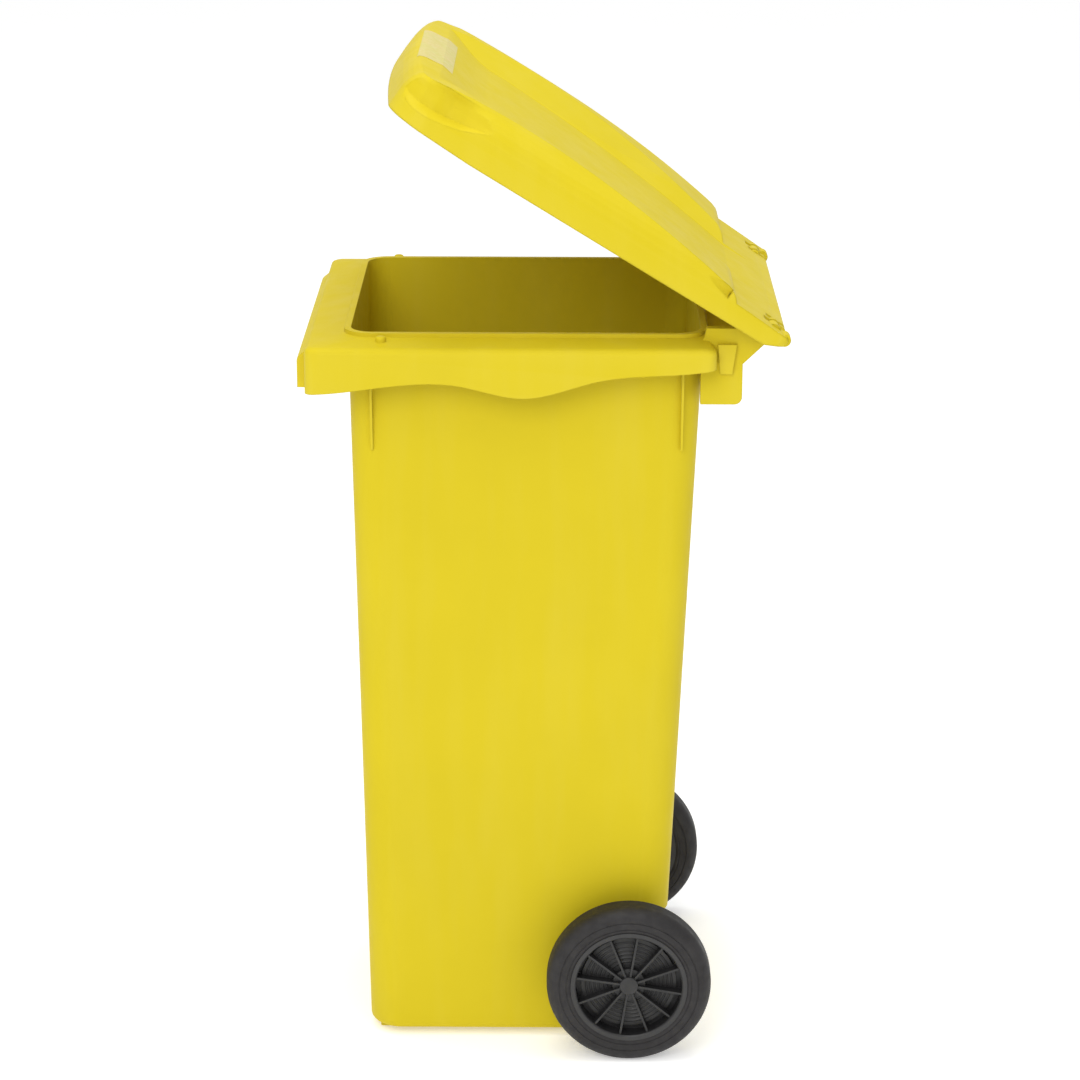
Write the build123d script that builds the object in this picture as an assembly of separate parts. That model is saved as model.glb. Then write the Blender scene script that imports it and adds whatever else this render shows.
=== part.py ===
from build123d import *
import os

# Two-wheel comb-lift bin with its lid part open. Millimetres, +Z up, front towards -Y.
# Origin: on the ground, at the middle of the width and of the overall depth.
# Shapes are drawn about the middle of the rim; CENTRE_SHIFT then moves them to the origin.

CENTRE_SHIFT = -4.39

# ---- driving dimensions: tub ----
TUB_WALL = 4.0
TUB_FLOOR_Z = 8.0
TUB_TOP_Z = 907.0
TUB_BOTTOM = {"half_width": 163.0, "front": -208.5, "rear": 153.5, "corner": 40.0}
TUB_TOP = {"half_width": 201.0, "front": -221.5, "rear": 190.5, "corner": 30.0}

# ---- driving dimensions: rim and comb lip ----
RIM_WALL = 4.0
RIM_HALF_WIDTH = 240.0
RIM_FRONT = -268.0
RIM_REAR = 203.0
RIM_CORNER = 11.0
RIM_EDGE_Z = 896.0
RIM_INNER_Z = 902.5
RIM_INNER_GAP = 5.0
RIM_EDGE_STEPS = ((0.0, 6.0), (0.8, 2.8), (2.6, 0.6), (5.5, -0.9))
LIP_HALF_WIDTH = 205.0
LIP_FRONT = -278.5
SKIRT_LOW_Z = 836.0
POCKET_RIB_X = (-140.0, -70.0, 0.0, 70.0, 140.0)
SIDE_RIB_Y = (-120.0, -40.0, 40.0, 120.0)
GUSSET_Y = (-194.0, 166.0)
PIP_X = 216.0
PIP_Y = -181.0

# ---- driving dimensions: hinge and handle ----
HINGE_Y = 267.0
HINGE_Z = 914.0
LID_OPEN_DEG = 31.6
BRACKET_IN = 196.0
BRACKET_OUT = 208.0
KNUCKLE_R = 8.0
PIN_R = 4.5
PIN_RUNNING_FIT = 0.06
HANDLE_Y = 222.0
HANDLE_Z = 845.0
HANDLE_DEPTH = 22.0
HANDLE_HEIGHT = 38.0
HANDLE_WEB_X = (-64.0, 64.0)
SHELF_REAR = 238.0

# ---- driving dimensions: lid, stated for the closed lid ----
LID_WALL = 3.5
LID_LOW_Z = 899.0
LID_FRONT_LOW_Z = 902.2
LID_HALF_WIDTH = 240.0
LID_REAR = 286.0
LID_SIDE_FRONT = -235.0
LID_NOSE = -247.0
LID_CORNER = 48.0
LID_REAR_CORNER = 14.0
LID_BEAD_Y = 282.0
LID_BEAD_R = 7.5
CREST_END_Y = 207.0
FLANGE_Z = 923.0
TROUGH_HALF = 140.0
TROUGH_EDGE_Z = 944.0
TROUGH_SLOPE = 18.0 / 60.0
SCOOP_STATIONS = ((-236, 209.0, 0.1, 928), (-226, 219.5, 0.4, 922), (-212, 233.1, 0.75, 919),
                  (-195, 239.3, 0.95, 919), (-178, 240.0, 1.0, 921), (-158, 240.0, 0.85, 925),
                  (-136, 240.0, 0.5, 933), (-112, 240.0, 0.05, 942))
LABEL_HALF_WIDTH = 98.0
LABEL_FRONT = -235.0
LABEL_REAR = -190.0
LABEL_THICKNESS = 0.5

# ---- driving dimensions: wheels and axle ----
AXLE_Y = 111.0
AXLE_Z = 100.0
AXLE_R = 10.0
AXLE_END_X = 218.5
WHEEL_X = 211.5
WHEEL_R = 100.0
WHEEL_WIDTH = 45.0
RING_OUT_R = 71.0
RING_IN_R = 64.5
SPOKE_COUNT = 12
SPOKE_TURN = -9.0
DISC_RIDGES = (27.0, 32.0, 37.0, 42.0, 47.0, 52.0)
BUSH_R = 13.0
BORE_END = 8.0
LATCH_X = -14.0
LATCH_R = 4.0
LATCH_COLLAR_R = 6.0
GROOVE_R = 8.0
LATCH_HOUSING_TOP = 44.0
RUNNING_FIT = 0.05


# ---- helpers ----

def tub_section(z, inset):
    """Rounded rectangle of the tapered tub at height z, moved in by inset."""
    share = (z - TUB_FLOOR_Z) / (TUB_TOP_Z - TUB_FLOOR_Z)
    size = {key: TUB_BOTTOM[key] + share * (TUB_TOP[key] - TUB_BOTTOM[key]) for key in TUB_TOP}
    half, front, rear = size["half_width"] - inset, size["front"] + inset, size["rear"] - inset
    corner = size["corner"] - inset
    middle = (front + rear) / 2
    return Pos(0, middle, z) * RectangleRounded(2 * half, rear - front, corner)


def plan_slab(half, front, rear, corner, z):
    """Rounded rectangle in plan at height z."""
    return Pos(0, (front + rear) / 2, z) * RectangleRounded(2 * half, rear - front, corner)


def side_prism(points, half_width, centre_x=0.0):
    """Solid whose outline is drawn in the Y-Z plane and which spans centre_x +- half_width."""
    outline = make_face(Polyline(*[(0, y, z) for y, z in points], close=True))
    return Pos(centre_x, 0, 0) * extrude(outline, amount=half_width, dir=(1, 0, 0), both=True)


def side_prism_of(wires, half_width, centre_x=0.0):
    """The same from a closed chain of edges in the Y-Z plane."""
    outline = make_face(wires)
    return Pos(centre_x, 0, 0) * extrude(outline, amount=half_width, dir=(1, 0, 0), both=True)


def box_between(low, high):
    """Box between two opposite corners."""
    size = [b - a for a, b in zip(low, high)]
    centre = [(a + b) / 2 for a, b in zip(low, high)]
    return Pos(*centre) * Box(*size)


def rod_x(x_low, x_high, radius, y=0.0, z=0.0):
    """Cylinder along X."""
    return Pos((x_low + x_high) / 2, y, z) * Rot(0, 90, 0) * Cylinder(radius, x_high - x_low)


def mirrored(solid):
    """The same piece on the other side of the bin."""
    return mirror(solid, about=Plane.YZ)


# ---- tub and rim ----

def tub_outer():
    shell = loft([tub_section(TUB_FLOOR_Z, 0), tub_section(TUB_TOP_Z, 0)], ruled=True)
    return fillet(shell.faces().sort_by(Axis.Z)[0].edges(), 10)


def axle_recess(extra):
    """Wheel-box space under the tub's rear, grown by extra."""
    return side_prism([
        (60 - extra, -20), (60 - extra, 62 + extra / 2), (126 - extra / 2, 164 + extra),
        (220, 172 + extra), (220, -20)], 156 if extra == 0 else 260)


def tub_void():
    floor = TUB_FLOOR_Z + TUB_WALL + 1
    void = loft([tub_section(floor, TUB_WALL), tub_section(TUB_TOP_Z + 20, TUB_WALL)], ruled=True)
    void = fillet(void.faces().sort_by(Axis.Z)[0].edges(), 8)
    return void - axle_recess(TUB_WALL)


def rim_block(inset, drop):
    """Rim flange with its sloped top, moved in by inset and lowered by drop."""
    half, front, rear = RIM_HALF_WIDTH - inset, RIM_FRONT + inset, RIM_REAR - inset
    corner = RIM_CORNER - inset
    edge_z = RIM_EDGE_Z - drop
    inner_z = RIM_INNER_Z - drop
    inner_half = TUB_TOP["half_width"] + RIM_INNER_GAP
    inner_front = TUB_TOP["front"] - RIM_INNER_GAP
    inner_rear = TUB_TOP["rear"] + RIM_INNER_GAP
    inner = plan_slab(inner_half, inner_front, inner_rear, TUB_TOP["corner"], inner_z)
    sections = [plan_slab(half, front, rear, corner, SKIRT_LOW_Z - drop)]
    for step_in, step_down in RIM_EDGE_STEPS:
        sections.append(plan_slab(
            half - step_in, front + step_in, rear - step_in, corner, edge_z - step_down))
    return loft(sections + [inner], ruled=True)


def lip_block(inset, drop):
    """Comb lip in front of the tub: a sloped step below the rim, then a hanging face."""
    front = LIP_FRONT + inset
    low = SKIRT_LOW_Z - drop
    rear = TUB_TOP["front"] - 1
    outline = [(rear, 890 - drop), (-266 + inset, 888 - drop), (front + 3.5, 881 - drop),
               (front + 0.8, 878.3 - drop), (front, 875 - drop), (front, low), (rear, low)]
    return side_prism(outline, LIP_HALF_WIDTH - inset)


def below_skirt():
    """Space under the skirt, whose lower edge dips into a wave at mid-length."""
    wave = Spline([
        (0, -300, 845), (0, -240, 844), (0, -180, 851.5), (0, -90, 853), (0, -19, 839),
        (0, 66, 859), (0, 165, 868), (0, 230, 878)])
    closing = Polyline((0, 230, 878), (0, 230, 800), (0, -300, 800), (0, -300, 845))
    return side_prism_of(wave + closing, 260)


def rim():
    outer = rim_block(0, 0) + lip_block(0, 0)
    hollow = rim_block(RIM_WALL, RIM_WALL) + lip_block(RIM_WALL, RIM_WALL)
    lip_ring = extrude(plan_slab(
        TUB_TOP["half_width"] + 4, TUB_TOP["front"] - 4, TUB_TOP["rear"] + 4, TUB_TOP["corner"] + 4, 885),
        amount=22)
    return (outer - hollow - below_skirt()) + lip_ring


def pocket_ribs():
    """Webs that stiffen the comb lip and divide its pocket."""
    rear = TUB_TOP["front"] + 2
    outline = [(-276, 848), (-276, 873), (-272.5, 879.5), (-265, 885), (-265, 893), (rear, 899), (rear, 848)]
    return [side_prism(outline, 2, x) for x in POCKET_RIB_X]


def side_ribs():
    """Webs inside the side skirts."""
    ribs = []
    for y in SIDE_RIB_Y:
        rib = box_between((198, y - 1.5, 864), (RIM_HALF_WIDTH - 2, y + 1.5, 892))
        ribs += [rib, mirrored(rib)]
    return ribs


def gussets():
    """Two upright ribs under the rim on each side."""
    outline = Polyline(
        (190, 0, 766), (197.5, 0, 766), (208, 0, 846), (208, 0, 880), (190, 0, 880), close=True)
    rib = extrude(make_face(outline), amount=1.5, dir=(0, 1, 0), both=True)
    placed = [Pos(0, y, 0) * rib for y in GUSSET_Y]
    return placed + [mirrored(piece) for piece in placed]


def lid_rest_pips():
    """Small bumps on the rim that the closed lid lies on."""
    pip = Pos(PIP_X, PIP_Y, 902) * Cylinder(6, 9)
    pip = fillet(pip.edges().sort_by(Axis.Z)[-1:], 3)
    return [pip, mirrored(pip)]


# ---- hinge brackets and handle ----

def hinge_bracket():
    """Arm that carries one hinge pin and one end of the handle."""
    plate = side_prism([
        (186, 825), (234, 825), (234, 873), (258, 896), (HINGE_Y, HINGE_Z), (263, 915), (192, 915),
        (190, 905), (186, 899)], (BRACKET_OUT - BRACKET_IN) / 2, (BRACKET_IN + BRACKET_OUT) / 2)
    lower_rear = plate.edges().filter_by(Axis.X).sort_by(lambda e: (e.center().Z - e.center().Y))[0]
    plate = fillet(lower_rear, 9)
    plate += rod_x(BRACKET_IN, BRACKET_OUT, KNUCKLE_R, HINGE_Y, HINGE_Z)
    lightening = side_prism([
        (200, 833), (226, 833), (226, 876), (246, 896), (240, 906), (212, 904), (200, 891)],
        5, BRACKET_IN + 3)
    plate -= lightening
    plate += side_prism([(205, 897), (227, 897), (222, 862), (208, 862)], 3, BRACKET_OUT + 2)
    return plate - rod_x(BRACKET_IN - 2, BRACKET_OUT + 2, PIN_R, HINGE_Y, HINGE_Z)


def handle_bar():
    """Full-width grip between the brackets, tied to the tub by two webs."""
    bar = Pos(0, HANDLE_Y, HANDLE_Z) * Box(2 * BRACKET_IN + 2, HANDLE_DEPTH, HANDLE_HEIGHT)
    bar = fillet(bar.edges().filter_by(Axis.X), 9)
    webs = [box_between((x - 3, 184, HANDLE_Z - 16), (x + 3, HANDLE_Y, HANDLE_Z + 14)) for x in HANDLE_WEB_X]
    return [bar] + webs


def rear_shelf():
    """Flat web behind the rim that joins the two brackets."""
    return box_between((-BRACKET_IN - 1, RIM_REAR - 6, 892), (BRACKET_IN + 1, SHELF_REAR, 896))


# ---- axle supports and foot ----

def axle_boss():
    """Tube and upright webs on one cheek that hold the axle."""
    boss = rod_x(140, 184, 19, AXLE_Y, AXLE_Z)
    web = make_face(Polyline((150, AXLE_Y, 40), (165, AXLE_Y, 40), (182, AXLE_Y, 84), (182, AXLE_Y, 116),
                             (168, AXLE_Y, 160), (150, AXLE_Y, 160), close=True))
    return boss + extrude(web, amount=3, dir=(0, 1, 0), both=True)


def inner_axle_rib(x):
    """Plate that holds the axle inside the wheel box."""
    return side_prism(
        [(56, 20), (56, 66), (122, 170), (158, 174), (158, 100), (120, 70), (90, 62), (72, 20)], 3, x)


def front_foot():
    """Ridge under the front that the bin stands on."""
    foot = box_between((-138, -196, 0), (138, -150, TUB_FLOOR_Z + 3))
    return chamfer(foot.faces().sort_by(Axis.Z)[0].edges(), 2)


def bin_body():
    bracket = hinge_bracket()
    body = tub_outer() + rim()
    for piece in pocket_ribs() + side_ribs() + gussets() + lid_rest_pips() + handle_bar():
        body += piece
    body += bracket
    body += mirrored(bracket)
    body += rear_shelf()
    body += front_foot()
    body -= axle_recess(0)
    boss = axle_boss()
    body += boss
    body += mirrored(boss)
    for x in (-58, 58):
        body += inner_axle_rib(x)
    body -= tub_void()
    body -= rod_x(-200, 200, AXLE_R + RUNNING_FIT, AXLE_Y, AXLE_Z)
    return body


# ---- lid ----

def lid_plan(z, inset):
    """Plan outline of the lid with its bowed front edge."""
    rear = LID_REAR + 2
    edges = Polyline((LID_HALF_WIDTH, LID_SIDE_FRONT), (LID_HALF_WIDTH, rear), (-LID_HALF_WIDTH, rear),
                     (-LID_HALF_WIDTH, LID_SIDE_FRONT))
    bow = ThreePointArc((-LID_HALF_WIDTH, LID_SIDE_FRONT), (0, LID_NOSE), (LID_HALF_WIDTH, LID_SIDE_FRONT))
    outline = make_face(edges + bow)
    outline = fillet(outline.vertices().group_by(Axis.Y)[0], LID_CORNER)
    outline = fillet(outline.vertices().group_by(Axis.Y)[-1], LID_REAR_CORNER)
    if inset:
        outline = offset(outline, amount=-inset)
    return Pos(0, 0, z) * outline


SHOULDER = ((899, 0.0), (920, 1.0), (932, 2.4), (940, 4.6), (946.5, 7.6), (952, 11.6), (956.5, 16.4),
            (960, 22.0), (962.5, 28.5), (964, 36.0))


def lid_shoulder(grow):
    """Block with rounded shoulders; grow moves its skin outwards."""
    sections = [lid_plan(z + grow, inset - grow) for z, inset in SHOULDER]
    low = LID_LOW_Z - 12 if grow < 0 else LID_LOW_Z
    sections = [lid_plan(low, -grow)] + sections[1:]
    return loft(sections, ruled=True)


def crest_profile(grow):
    """Y-Z outline of the lid's highest lines, with its rounded front and rear ends."""
    front = Spline([
        (0, -250 - grow, 905), (0, -247.5 - grow, 925 + 0.2 * grow),
        (0, -242.5 - 0.8 * grow, 941 + 0.6 * grow),
        (0, -234.5 - 0.4 * grow, 951.5 + 0.9 * grow), (0, -215, 955.8 + grow), (0, -190, 959.2 + grow),
        (0, -165, 961 + grow)])
    crest = ThreePointArc((0, -165, 961 + grow), (0, -60, 962.5 + grow), (0, 190, 936.3 + grow))
    turn = ThreePointArc(
        (0, 190, 936.3 + grow), (0, CREST_END_Y - 4 + 0.7 * grow, 931.5 + 0.7 * grow),
        (0, CREST_END_Y + 4 + grow, FLANGE_Z + grow))
    rear = Line((0, CREST_END_Y + 4 + grow, FLANGE_Z + grow), (0, 277, 919.5 + grow))
    tip = LID_REAR + grow
    over = ThreePointArc((0, 277, 919.5 + grow), (0, tip - 2.2, 917.5 + 0.8 * grow), (0, tip, 912.5))
    under = Polyline((0, tip, 912.5), (0, 283 + 0.8 * grow, 908.3 - 0.5 * grow), (0, 262, 899 - grow))
    closing = Polyline((0, 262, 899 - grow), (0, 260, 860), (0, -250 - grow, 860), (0, -250 - grow, 905))
    return side_prism_of(front + crest + turn + rear + over + under + closing, 260)


def trough(grow):
    """Sunken middle of the lid between its side rails; grow lifts its floor."""
    ramp = Spline(
        [(0, -212, 957.5 + grow), (0, -190, 954 + grow), (0, -168, 948.3 + grow), (0, -140, 944.5 + grow)],
        tangents=[(0, 1, -0.03), (0, 1, -0.06)])
    floor_arc = ThreePointArc((0, -140, 944.5 + grow), (0, 20, 939 + grow), (0, CREST_END_Y + 5, 921 + grow))
    rest = Polyline(
        (0, CREST_END_Y + 5, 921 + grow), (0, 300, 921 + grow), (0, 300, 1010), (0, -290, 1010),
        (0, -290, 966 + grow), (0, -212, 957.5 + grow))
    lengthways = side_prism_of(ramp + floor_arc + rest, 260)
    half_top = TROUGH_HALF + (1034 - TROUGH_EDGE_Z) / TROUGH_SLOPE
    across = make_face(Polyline(
        (-20, -300, 896 + grow), (20, -300, 896 + grow), (TROUGH_HALF, -300, TROUGH_EDGE_Z + grow),
        (half_top, -300, 1034 + grow), (-half_top, -300, 1034 + grow),
        (-TROUGH_HALF, -300, TROUGH_EDGE_Z + grow), close=True))
    return lengthways & extrude(across, amount=700, dir=(0, 1, 0))


def grip_scoop(grow):
    """Finger groove below the front end of one side rail, with a sharp upper edge; grow widens it."""
    sections = []
    for y, wall_x, depth, low in SCOOP_STATIONS:
        middle = low + 0.28 * (950 - low)
        outline = Polyline(
            (wall_x + 12, y, 970), (wall_x - 19.5 - grow, y, 958.5 + grow),
            (wall_x - 23 * depth - grow, y, 951.5),
            (wall_x - 22 * depth - grow, y, 943), (wall_x - 18 * depth - grow, y, middle - 0.6 * grow),
            (wall_x + 2, y, low - 1.2 * grow), (wall_x + 12, y, low - 2 - 1.2 * grow), close=True)
        sections.append(make_face(outline))
    return loft(sections, ruled=True)


def rail_end_notch(side, grow):
    """Short tapered recess in the shoulder near the rear end of one side rail; grow widens it."""
    cone = Cone(2.5 + grow, 8 + grow, 34)
    return Pos(side * 239.6, 183, 932.5) * Rot(-97, 0, 0) * cone


def lid_form(grow):
    """Outer shape of the lid; grow moves the whole skin outwards."""
    form = lid_shoulder(grow) & crest_profile(grow)
    form -= trough(grow)
    scoop = grip_scoop(-grow)
    form -= scoop
    form -= mirrored(scoop)
    for side in (-1, 1):
        form -= rail_end_notch(side, -grow)
    return form


def lid_hinge_side():
    """Lugs on one side that the hinge pin passes through, and the bead on the lid's rear corner."""
    lugs = []
    for x_low, x_high in ((186, 193), (211, 218)):
        lug = rod_x(x_low, x_high, 9, HINGE_Y, HINGE_Z)
        lug += box_between((x_low, HINGE_Y - 9, HINGE_Z), (x_high, HINGE_Y + 9, HINGE_Z + 5))
        lugs.append(lug)
    bead = rod_x(211, 231, LID_BEAD_R, LID_BEAD_Y, HINGE_Z)
    return lugs + [fillet(bead.edges().sort_by(Axis.X)[-1], 3)]


def lid_closed():
    lid = lid_form(0) - lid_form(-LID_WALL)
    for lug in lid_hinge_side():
        lid += lug
        lid += mirrored(lug)
    for x_low, x_high, y_low in ((194, 210, 252), (174, 186, 256)):
        notch = box_between((x_low, y_low, 880), (x_high, 300, 960))
        lid = lid - notch - mirrored(notch)
    over_rim = [(-255, 880), (-255, LID_FRONT_LOW_Z), (-215, LID_FRONT_LOW_Z), (-130, LID_LOW_Z), (-130, 880)]
    lid -= side_prism(over_rim, LID_HALF_WIDTH + 1)
    return lid - rod_x(-230, 230, PIN_R + PIN_RUNNING_FIT, HINGE_Y, HINGE_Z)


def open_lid(piece):
    """Turn a closed-lid piece about the hinge to the open rest position."""
    axis = Axis((0, HINGE_Y, HINGE_Z), (-1, 0, 0))
    return piece.rotate(axis, LID_OPEN_DEG)


def lid_label():
    """Thin blank sticker that follows the lid's front."""
    skin = lid_form(LABEL_THICKNESS) - lid_form(0)
    area = box_between((-LABEL_HALF_WIDTH, LABEL_FRONT, 940), (LABEL_HALF_WIDTH, LABEL_REAR, 980))
    return skin & area


def hinge_pin():
    """Headed pin with a barbed tip, pressed into one bracket."""
    pin = rod_x(182, 221, PIN_R, HINGE_Y, HINGE_Z)
    pin = chamfer(pin.edges().sort_by(Axis.X)[-1], 1.2)
    head = rod_x(179, 182.4, 7.5, HINGE_Y, HINGE_Z)
    head = fillet(head.edges().sort_by(Axis.X)[0], 1.2)
    return pin + head


# ---- wheels ----

def revolved(points):
    """Ring about the wheel's axis from (x, radius) points."""
    outline = make_face(Polyline(*points, close=True))
    return revolve(outline, axis=Axis.X)


def to_wheel(piece):
    """Move a piece from wheel coordinates to the right-hand wheel."""
    return Pos(WHEEL_X, AXLE_Y, AXLE_Z) * piece


def tyre():
    half = WHEEL_WIDTH / 2
    low, high = RING_OUT_R, WHEEL_R
    side = Polyline((-half + 1, low), (half - 1, low), (half, low + 3), (half, high - 14))
    shoulder = ThreePointArc((half, high - 14), (half - 4.2, high - 4.2), (half - 14, high))
    crown = Line((half - 14, high), (14 - half, high))
    shoulder_b = ThreePointArc((14 - half, high), (4.2 - half, high - 4.2), (-half, high - 14))
    back = Polyline((-half, high - 14), (-half, low + 3), (-half + 1, low))
    ring = revolve(make_face(side + shoulder + crown + shoulder_b + back), axis=Axis.X)
    for radius in (76, 84.5):
        for x in (-half, half):
            groove = revolved([(x - 0.6, radius - 0.8), (x + 0.6, radius - 0.8),
                               (x + 0.6, radius + 0.8), (x - 0.6, radius + 0.8)])
            ring -= groove
    return ring


def hub_spokes(x_low, x_root, x_rim, inner, outer):
    """Radial ribs on one face of the disc, spaced evenly."""
    outline = make_face(Polyline((x_low, inner), (x_root, inner), (x_rim, outer), (x_low, outer), close=True))
    spoke = extrude(outline, amount=1.3, both=True)
    return [Rot(360 / SPOKE_COUNT * i + SPOKE_TURN, 0, 0) * spoke for i in range(SPOKE_COUNT)]


def wheel_hub():
    half = WHEEL_WIDTH / 2
    ring = revolved([(-half, RING_IN_R), (half - 1.5, RING_IN_R), (half, RING_IN_R + 1.5), (half, RING_OUT_R),
                     (-half, RING_OUT_R)])
    ridges = [(6, 23)]
    for radius in DISC_RIDGES:
        ridges += [(6, radius - 1.4), (6.7, radius - 0.5), (6.7, radius + 0.5), (6, radius + 1.4)]
    disc = revolved([(1, 0), (6, 0)] + ridges + [(6, 58), (1, 58)])
    step = revolved([(-3, 54), (6, 54), (6, 58), (1, 58), (1, 66), (-3, 66)])
    boss = rod_x(-half, 13, 20)
    cap = rod_x(12, 19.5, 11.5)
    cap = fillet(cap.edges().sort_by(Axis.X)[-1], 1.5)
    hub = ring + disc + step + boss + cap
    for spoke in hub_spokes(5, 17.5, 19, 9, 66) + hub_spokes(-half + 3, 2, 2, 18, 66):
        hub += spoke
    hub += Pos(LATCH_X, 0, LATCH_HOUSING_TOP / 2) * Cylinder(8.2, LATCH_HOUSING_TOP)
    hub -= rod_x(-half - 1, BORE_END, BUSH_R)
    hub -= Pos(LATCH_X, 0, 20) * Cylinder(LATCH_R + RUNNING_FIT, 40)
    hub -= Pos(LATCH_X, 0, 36) * Cylinder(LATCH_COLLAR_R + RUNNING_FIT, 33)
    return hub


def hub_bush():
    half = WHEEL_WIDTH / 2
    bush = rod_x(-half, BORE_END - 0.5, BUSH_R) + rod_x(-half - 2, -half, 16.5)
    bush -= rod_x(-half - 3, BORE_END + 2, AXLE_R + RUNNING_FIT)
    return bush - Pos(LATCH_X, 0, 10) * Cylinder(LATCH_R + RUNNING_FIT, 20)


def lock_pin():
    """Latch pin whose tip stands in the axle's groove."""
    pin = Pos(LATCH_X, 0, 14.2) * Cylinder(LATCH_R, 11.8)
    collar = Pos(LATCH_X, 0, 21.3) * Cylinder(LATCH_COLLAR_R, 3)
    guide = Pos(LATCH_X, 0, 24.3) * Cylinder(2.6, 4)
    return chamfer((pin + collar + guide).edges().sort_by(Axis.Z)[0], 1)


def lock_spring():
    """Coil between the pin's collar and the plug."""
    turns_height = 15.0
    path = Helix(pitch=2.5, height=turns_height, radius=4.4)
    start = path @ 0
    section = Plane(origin=start, z_dir=path % 0) * Circle(0.5)
    return Pos(LATCH_X, 0, 23.6) * sweep(section, path=path)


def lock_plug():
    """Plug that closes the latch bore."""
    return Pos(LATCH_X, 0, 42) * Cylinder(LATCH_COLLAR_R, 4)


def axle():
    bar = rod_x(-AXLE_END_X, AXLE_END_X, AXLE_R)
    bar = chamfer(bar.edges(), 1.2)
    for side in (-1, 1):
        middle = side * (WHEEL_X + LATCH_X)
        groove = rod_x(middle - 5, middle + 5, AXLE_R + 2) - rod_x(middle - 5, middle + 5, GROOVE_R)
        bar -= groove
    return Pos(0, AXLE_Y, AXLE_Z) * bar


def axle_washer():
    ring = rod_x(184.4, 186.2, 16, AXLE_Y, AXLE_Z)
    return ring - rod_x(184, 187, AXLE_R + 0.25, AXLE_Y, AXLE_Z)


# ---- build and write ----

def pieces():
    parts = {"bin_body": bin_body(), "lid": open_lid(lid_closed()), "lid_label": open_lid(lid_label()),
             "axle": axle()}
    right = {"hinge_pin": hinge_pin(), "axle_washer": axle_washer(), "tyre": to_wheel(tyre()),
             "wheel_hub": to_wheel(wheel_hub()), "hub_bush": to_wheel(hub_bush()),
             "lock_pin": to_wheel(lock_pin()), "lock_spring": to_wheel(lock_spring()),
             "lock_plug": to_wheel(lock_plug())}
    for name, piece in right.items():
        parts[name + "_right"] = piece
        parts[name + "_left"] = mirrored(piece)
    return {name: Pos(0, CENTRE_SHIFT, 0) * piece for name, piece in parts.items()}


def main():
    os.makedirs("parts", exist_ok=True)
    for name, piece in pieces().items():
        piece.label = name
        export_step(piece, "parts/" + name + ".step")


if __name__ == "__main__":
    main()
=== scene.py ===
import math

import bpy
from mathutils import Matrix, Vector

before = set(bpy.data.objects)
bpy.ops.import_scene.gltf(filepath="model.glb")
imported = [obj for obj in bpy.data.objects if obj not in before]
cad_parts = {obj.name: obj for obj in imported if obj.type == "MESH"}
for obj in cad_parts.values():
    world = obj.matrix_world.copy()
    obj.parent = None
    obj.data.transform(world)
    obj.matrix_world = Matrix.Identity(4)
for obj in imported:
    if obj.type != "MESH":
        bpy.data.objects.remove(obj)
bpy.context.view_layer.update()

# Lengths are in metres, angles in degrees, lens and sensor in millimetres. The frame is the CAD's own:
# +Z up, the bin's front towards -Y, its hinge and wheels towards +Y, the camera on the +X side.
CAMERA_AT = (3.7761, 0.0199, 1.7844)
CAMERA_PITCH = 17.484
CAMERA_YAW = -0.362
CAMERA_ROLL = 0.130
CAMERA_LENS = 106.77
SENSOR_WIDTH = 36.0

FLOOR_HALF = 30.0
FLOOR_DARK = (0.93, 0.93, 0.93)
FLOOR_LIGHT = (0.95, 0.95, 0.95)
FLOOR_GLOW = 0.32
WORLD_STRENGTH = 0.70

# Name, place, aim, side length, watts, colour.
SOFTBOXES = (
    ("key", (3.7, -1.0, 3.1), (0.0, 0.0, 0.75), 2.0, 66.0, (1.0, 0.99, 0.96)),
    ("rim", (2.0, -0.6, 4.2), (0.1, 0.0, 0.9), 1.4, 18.0, (1.0, 0.99, 0.96)),
    ("top", (0.0, 0.2, 4.2), (0.0, 0.0, 0.8), 2.2, 62.0, (0.97, 1.0, 0.96)),
)

SIDES = ("right", "left")
WHITE = (1.0, 1.0, 1.0, 1.0)
YELLOW = (0.600, 0.477, 0.016)
TYRE_BLACK = (0.0084, 0.0070, 0.0080)
HUB_BLACK = (0.0128, 0.0124, 0.0132)
PLUG_BLACK = (0.022, 0.022, 0.024)
BUSH_GREY = (0.30, 0.30, 0.29)
FILM_PALE = (0.60, 0.49, 0.17)
FILM_YELLOWED = (0.55, 0.49, 0.125)

# Grey value of noise between which most of it lies.
NOISE_LOW, NOISE_HIGH = 0.3, 0.7

# Sockets of the Mix node that carry colour.
MIX_FIRST, MIX_SECOND, MIX_RESULT = 6, 7, 2


# ---- node helpers ----

def new_material(name):
    """Empty node material with a Principled shader, and its tree."""
    material = bpy.data.materials.new(name)
    material.use_nodes = True
    tree = material.node_tree
    tree.nodes.clear()
    output = tree.nodes.new("ShaderNodeOutputMaterial")
    shader = tree.nodes.new("ShaderNodeBsdfPrincipled")
    tree.links.new(shader.outputs["BSDF"], output.inputs["Surface"])
    return material, tree, shader


def place(tree, scale=(1.0, 1.0, 1.0)):
    """Position on the piece in metres, stretched per axis."""
    position = tree.nodes.new("ShaderNodeTexCoord").outputs["Object"]
    mapping = tree.nodes.new("ShaderNodeMapping")
    mapping.inputs["Scale"].default_value = scale
    tree.links.new(position, mapping.inputs["Vector"])
    return mapping.outputs["Vector"]


def noise(tree, vector, scale, detail=4.0, roughness=0.55):
    node = tree.nodes.new("ShaderNodeTexNoise")
    node.inputs["Scale"].default_value = scale
    node.inputs["Detail"].default_value = detail
    node.inputs["Roughness"].default_value = roughness
    tree.links.new(vector, node.inputs["Vector"])
    return node.outputs["Fac"]


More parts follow.
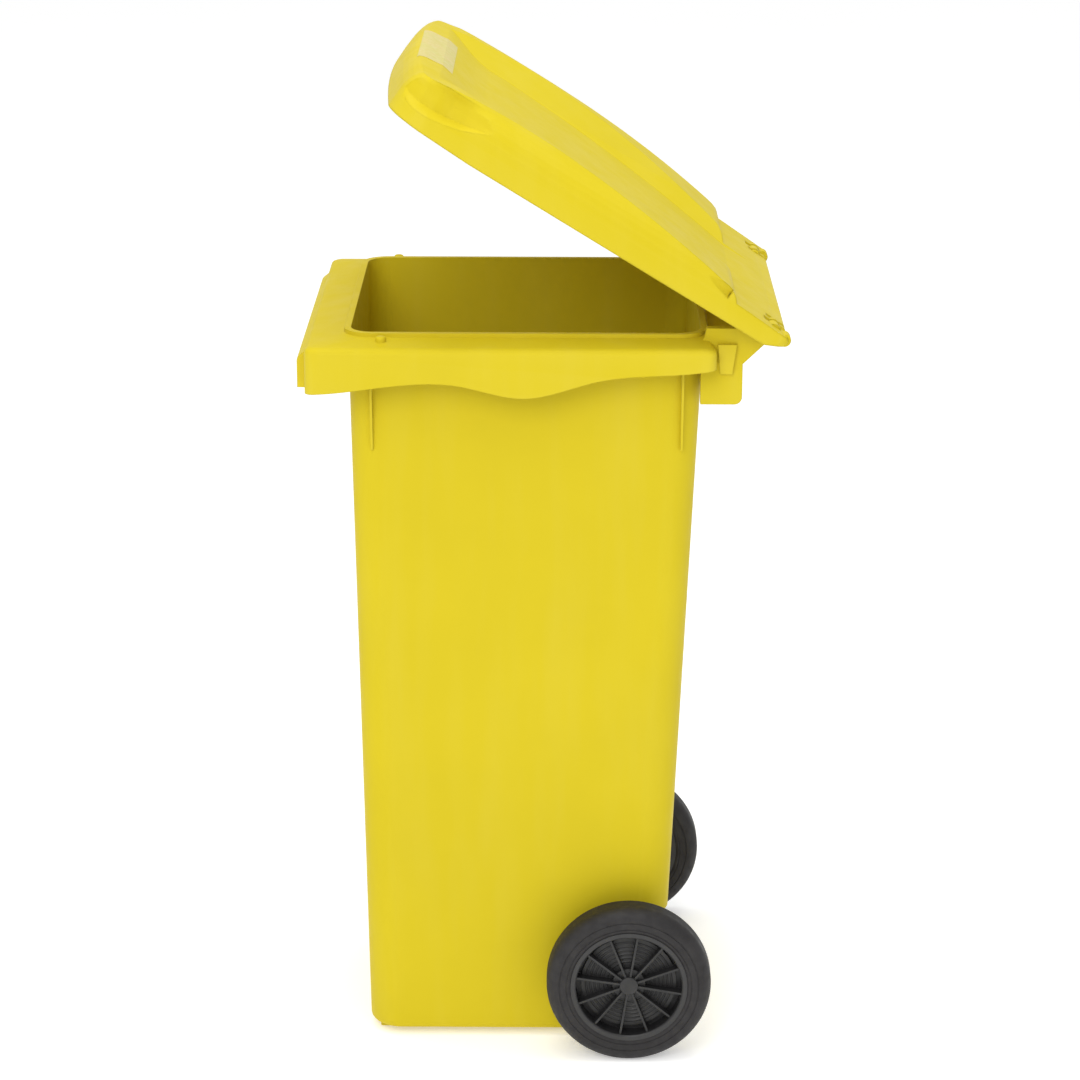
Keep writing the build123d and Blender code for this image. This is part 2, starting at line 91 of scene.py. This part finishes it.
def remap(tree, value, low, high, to_low=0.0, to_high=1.0):
    """A value between low and high becomes one between to_low and to_high."""
    node = tree.nodes.new("ShaderNodeMapRange")
    node.inputs["From Min"].default_value = low
    node.inputs["From Max"].default_value = high
    node.inputs["To Min"].default_value = to_low
    node.inputs["To Max"].default_value = to_high
    tree.links.new(value, node.inputs["Value"])
    return node.outputs["Result"]


def mix_colour(tree, share, first, second):
    """Blend of two colours; each is an (r, g, b) or a socket."""
    node = tree.nodes.new("ShaderNodeMix")
    node.data_type = "RGBA"
    tree.links.new(share, node.inputs["Factor"])
    for index, colour in ((MIX_FIRST, first), (MIX_SECOND, second)):
        if isinstance(colour, tuple):
            node.inputs[index].default_value = (*colour, 1.0)
        else:
            tree.links.new(colour, node.inputs[index])
    return node.outputs[MIX_RESULT]


def weaken(tree, value, factor):
    """The value times a plain number."""
    node = tree.nodes.new("ShaderNodeMath")
    node.operation = "MULTIPLY"
    tree.links.new(value, node.inputs[0])
    node.inputs[1].default_value = factor
    return node.outputs[0]


def set_roughness(tree, shader, value, low, high):
    """Roughness that runs from low to high with a noise value."""
    tree.links.new(remap(tree, value, NOISE_LOW, NOISE_HIGH, low, high), shader.inputs["Roughness"])


def bump(tree, shader, height, distance, strength, rounding=0.0):
    """Relief from a height value. Where rounding is given, sharp edges are shaded with that radius."""
    node = tree.nodes.new("ShaderNodeBump")
    node.inputs["Strength"].default_value = strength
    node.inputs["Distance"].default_value = distance
    tree.links.new(height, node.inputs["Height"])
    if rounding:
        bevel = tree.nodes.new("ShaderNodeBevel")
        bevel.samples = 4
        bevel.inputs["Radius"].default_value = rounding
        tree.links.new(bevel.outputs["Normal"], node.inputs["Normal"])
    tree.links.new(node.outputs["Normal"], shader.inputs["Normal"])


def sharp_edges(tree, low, high):
    """1 on sharp outer edges, 0 elsewhere."""
    geometry = tree.nodes.new("ShaderNodeNewGeometry")
    return remap(tree, geometry.outputs["Pointiness"], low, high)


# ---- materials ----

def yellow_plastic(name, tint, roughness, rounding):
    """Moulded polyethylene: faint mottling, fine grain, light scuffs and paler sharp edges."""
    material, tree, shader = new_material(name)
    where = place(tree)
    deep = tuple(channel * 0.955 for channel in tint)
    pale = (tint[0] * 1.05, tint[1] * 1.08, tint[2] * 2.2 + 0.02)
    mottling = remap(tree, noise(tree, where, scale=5.5, detail=3.0), NOISE_LOW, NOISE_HIGH)
    colour = mix_colour(tree, mottling, deep, tint)
    upright = place(tree, (9.0, 9.0, 1.0))
    scuffs = remap(tree, noise(tree, upright, scale=3.0, detail=5.0), 0.45, 0.75)
    colour = mix_colour(tree, weaken(tree, scuffs, 0.22), colour, pale)
    # Sharp outer edges are made lighter with the pale colour.
    colour = mix_colour(tree, weaken(tree, sharp_edges(tree, 0.53, 0.62), 0.35), colour, pale)
    tree.links.new(colour, shader.inputs["Base Color"])
    patches = noise(tree, where, scale=28.0, detail=6.0)
    set_roughness(tree, shader, patches, roughness - 0.06, roughness + 0.08)
    shader.inputs["Specular IOR Level"].default_value = 0.06
    grain = noise(tree, where, scale=900.0, detail=3.0, roughness=0.6)
    bump(tree, shader, grain, distance=0.00022, strength=0.30, rounding=rounding)
    return material


def black_plastic(name, tint, roughness):
    """Dark moulded plastic with a satin skin, speckled dust, and sharp edges lightened as a painted
    highlight on ribs and rims.
    """
    material, tree, shader = new_material(name)
    where = place(tree)
    # Lighter colour, used both for real dust specks and for the painted highlight on sharp edges.
    dust_and_highlight = tuple(channel * 1.9 + 0.01 for channel in tint)
    dust = remap(tree, noise(tree, where, scale=35.0, detail=6.0), 0.45, 0.75)
    colour = mix_colour(tree, weaken(tree, dust, 0.5), tint, dust_and_highlight)
    # Painted highlight: sharp edges and ribs are lightened toward the pale colour.
    colour = mix_colour(tree, weaken(tree, sharp_edges(tree, 0.53, 0.60), 0.4), colour, dust_and_highlight)
    tree.links.new(colour, shader.inputs["Base Color"])
    patches = noise(tree, where, scale=60.0, detail=5.0)
    set_roughness(tree, shader, patches, roughness - 0.07, roughness + 0.1)
    grain = noise(tree, where, scale=1400.0, detail=2.0)
    bump(tree, shader, grain, distance=0.00015, strength=0.35, rounding=0.0006)
    return material


def rubber(name, tint):
    """Tyre rubber: matt, with speckled dust and a fine grain."""
    material, tree, shader = new_material(name)
    where = place(tree)
    grey = tuple(channel * 1.9 + 0.0060 for channel in tint)
    specks = noise(tree, where, scale=22.0, detail=8.0, roughness=0.65)
    colour = mix_colour(tree, remap(tree, specks, 0.42, 0.78, 0.0, 0.75), tint, grey)
    tree.links.new(colour, shader.inputs["Base Color"])
    set_roughness(tree, shader, noise(tree, where, scale=90.0, detail=4.0), 0.55, 0.75)
    grain = noise(tree, where, scale=1100.0, detail=4.0, roughness=0.7)
    bump(tree, shader, grain, distance=0.0003, strength=0.45, rounding=0.0008)
    return material


def steel(name, tint, roughness, stretch=(1.0, 1.0, 1.0)):
    """Drawn or turned steel with fine streaks and dull spots; stretch is small along the streaks."""
    material, tree, shader = new_material(name)
    dull = tuple(channel * 0.72 for channel in tint)
    spots = noise(tree, place(tree), scale=80.0, detail=6.0)
    colour = mix_colour(tree, remap(tree, spots, 0.42, 0.68), tint, dull)
    tree.links.new(colour, shader.inputs["Base Color"])
    streaks = noise(tree, place(tree, stretch), scale=300.0, detail=4.0)
    set_roughness(tree, shader, streaks, roughness - 0.08, roughness + 0.12)
    shader.inputs["Metallic"].default_value = 1.0
    bump(tree, shader, streaks, distance=0.00008, strength=0.5)
    return material


def film(name):
    """Blank sticker: weathered pale film with cloudy patches."""
    material, tree, shader = new_material(name)
    where = place(tree)
    patches = remap(tree, noise(tree, where, scale=38.0, detail=5.0), 0.35, 0.65)
    colour = mix_colour(tree, patches, FILM_PALE, FILM_YELLOWED)
    tree.links.new(colour, shader.inputs["Base Color"])
    set_roughness(tree, shader, noise(tree, where, scale=150.0), 0.35, 0.55)
    wrinkles = noise(tree, where, scale=420.0, detail=3.0)
    bump(tree, shader, wrinkles, distance=0.0001, strength=0.4)
    return material


def pale_floor():
    """Near-white matt floor that glows a little, so that it shows white behind the bin."""
    material, tree, shader = new_material("floor")
    clouds = noise(tree, place(tree), scale=0.8, detail=2.0)
    colour = mix_colour(tree, clouds, FLOOR_DARK, FLOOR_LIGHT)
    tree.links.new(colour, shader.inputs["Base Color"])
    shader.inputs["Roughness"].default_value = 0.9
    shader.inputs["Emission Color"].default_value = WHITE
    shader.inputs["Emission Strength"].default_value = FLOOR_GLOW
    shader.inputs["Specular IOR Level"].default_value = 0.1
    return material


def dress(node, material):
    """Give a CAD node its material."""
    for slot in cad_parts[node].material_slots:
        slot.material = material


def dress_all():
    """One material for each single node, and one for each pair of nodes."""
    dress("bin_body", yellow_plastic("bin_yellow", YELLOW, roughness=0.46, rounding=0.0015))
    dress("lid", yellow_plastic("lid_yellow", YELLOW, roughness=0.44, rounding=0.004))
    dress("lid_label", film("label_film"))
    dress("axle", steel("axle_steel", (0.56, 0.56, 0.57), roughness=0.34, stretch=(0.05, 1.0, 1.0)))
    pairs = {
        "hinge_pin": yellow_plastic("pin_yellow", YELLOW, roughness=0.4, rounding=0.0008),
        "axle_washer": steel("washer_steel", (0.62, 0.62, 0.60), roughness=0.38),
        "tyre": rubber("tyre_rubber", TYRE_BLACK),
        "wheel_hub": black_plastic("hub_black", HUB_BLACK, roughness=0.45),
        "hub_bush": black_plastic("bush_grey", BUSH_GREY, roughness=0.40),
        "lock_plug": black_plastic("plug_black", PLUG_BLACK, roughness=0.45),
        "lock_pin": steel("latch_steel", (0.58, 0.58, 0.58), roughness=0.30, stretch=(1.0, 1.0, 0.1)),
        "lock_spring": steel("spring_steel", (0.55, 0.55, 0.57), roughness=0.28),
    }
    for name, material in pairs.items():
        for side in SIDES:
            dress(name + "_" + side, material)


# ---- floor, light and camera ----

def add_floor():
    """Square floor at ground level, wide enough to fill the view."""
    corners = [(x * FLOOR_HALF, y * FLOOR_HALF, 0.0) for x, y in ((-1, -1), (1, -1), (1, 1), (-1, 1))]
    mesh = bpy.data.meshes.new("floor")
    mesh.from_pydata(corners, [], [(0, 1, 2, 3)])
    floor = bpy.data.objects.new("floor", mesh)
    mesh.materials.append(pale_floor())
    bpy.context.scene.collection.objects.link(floor)


def add_softbox(name, at, aim, size, power, colour):
    """Square area light that faces a point."""
    data = bpy.data.lights.new(name, "AREA")
    data.color = colour
    data.size = size
    data.energy = power
    lamp = bpy.data.objects.new(name, data)
    lamp.location = at
    direction = Vector(aim) - Vector(at)
    lamp.rotation_euler = direction.to_track_quat("-Z", "Y").to_euler()
    bpy.context.scene.collection.objects.link(lamp)


def add_lights():
    """Even white surroundings and three softboxes."""
    world = bpy.data.worlds.new("studio")
    world.use_nodes = True
    background = world.node_tree.nodes["Background"]
    background.inputs["Color"].default_value = WHITE
    background.inputs["Strength"].default_value = WORLD_STRENGTH
    bpy.context.scene.world = world
    for softbox in SOFTBOXES:
        add_softbox(*softbox)
    bpy.context.scene.view_settings.view_transform = "Standard"


def add_camera():
    """Camera from its position and its pitch, yaw and roll."""
    pitch, yaw, roll = (math.radians(angle) for angle in (CAMERA_PITCH, CAMERA_YAW, CAMERA_ROLL))
    forward = Vector((-math.cos(pitch) * math.cos(yaw), math.cos(pitch) * math.sin(yaw), -math.sin(pitch)))
    level = forward.cross(Vector((0.0, 0.0, 1.0))).normalized()
    upward = level.cross(forward)
    right = level * math.cos(roll) + upward * math.sin(roll)
    top = upward * math.cos(roll) - level * math.sin(roll)
    turn = Matrix((right, top, -forward)).transposed().to_4x4()
    data = bpy.data.cameras.new("photo_view")
    data.lens = CAMERA_LENS
    data.sensor_width = SENSOR_WIDTH
    camera = bpy.data.objects.new("photo_view", data)
    camera.matrix_world = Matrix.Translation(CAMERA_AT) @ turn
    bpy.context.scene.collection.objects.link(camera)
    bpy.context.scene.camera = camera


dress_all()
add_floor()
add_lights()
add_camera()
